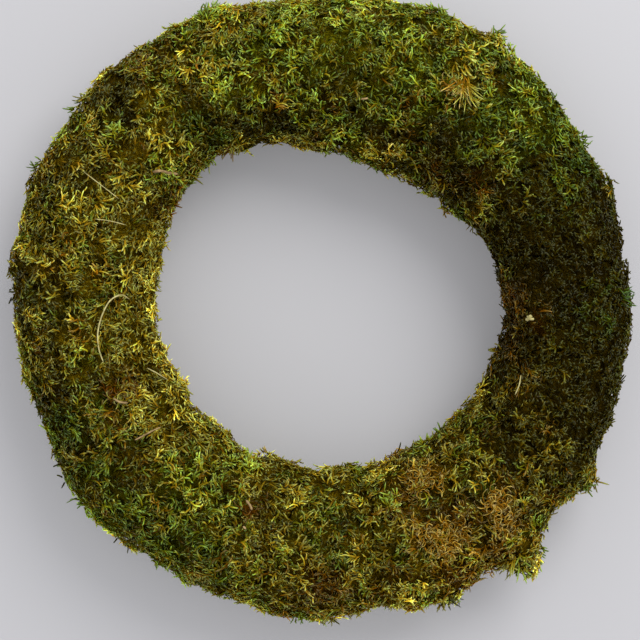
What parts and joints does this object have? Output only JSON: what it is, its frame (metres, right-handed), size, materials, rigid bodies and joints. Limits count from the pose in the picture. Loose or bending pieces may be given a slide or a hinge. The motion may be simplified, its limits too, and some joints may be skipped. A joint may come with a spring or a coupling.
{
  "type": "moss wreath",
  "caption": "Round wreath of dried sheet moss wound onto a straw ring with a thin wire; it lies on a table or hangs by its ring.",
  "frame": {"origin": "middle of the wreath's outline, on the surface that its back lies on", "axes": "+Z out of the wreath's front, +Y towards its top as it hangs, +X to the right seen from the front"},
  "size_m": [0.3304, 0.3324, 0.0784],
  "materials": {
    "moss_dark": "matte, shaggy moss shoots",
    "moss_green": "matte, shaggy moss shoots",
    "moss_yellow": "matte, shaggy moss shoots",
    "moss_olive": "matte, shaggy moss shoots",
    "moss_dry": "matte, shaggy moss shoots",
    "straw": "dry straw, satin",
    "wire_green": "dark green lacquer, satin",
    "dry_stalk": "dry stalk, satin"
  },
  "bodies": {
    "root": {"straw_ring": "straw", "moss_pad_01": "moss_dark", "moss_pad_02": "moss_dark", "moss_pad_03": "moss_green", "moss_pad_04": "moss_green", "moss_pad_05": "moss_green", "moss_pad_06": "moss_yellow", "moss_pad_07": "moss_olive", "moss_pad_08": "moss_yellow", "moss_pad_09": "moss_yellow", "moss_pad_10": "moss_olive", "moss_pad_11": "moss_dark", "moss_pad_12": "moss_olive", "moss_pad_13": "moss_green", "moss_pad_14": "moss_dry", "moss_pad_15": "moss_dry", "moss_pad_16": "moss_dark", "binding_wire": "wire_green", "dry_stem": "dry_stalk", "twig_chip": "dry_stalk"}
  },
  "joints": []
}
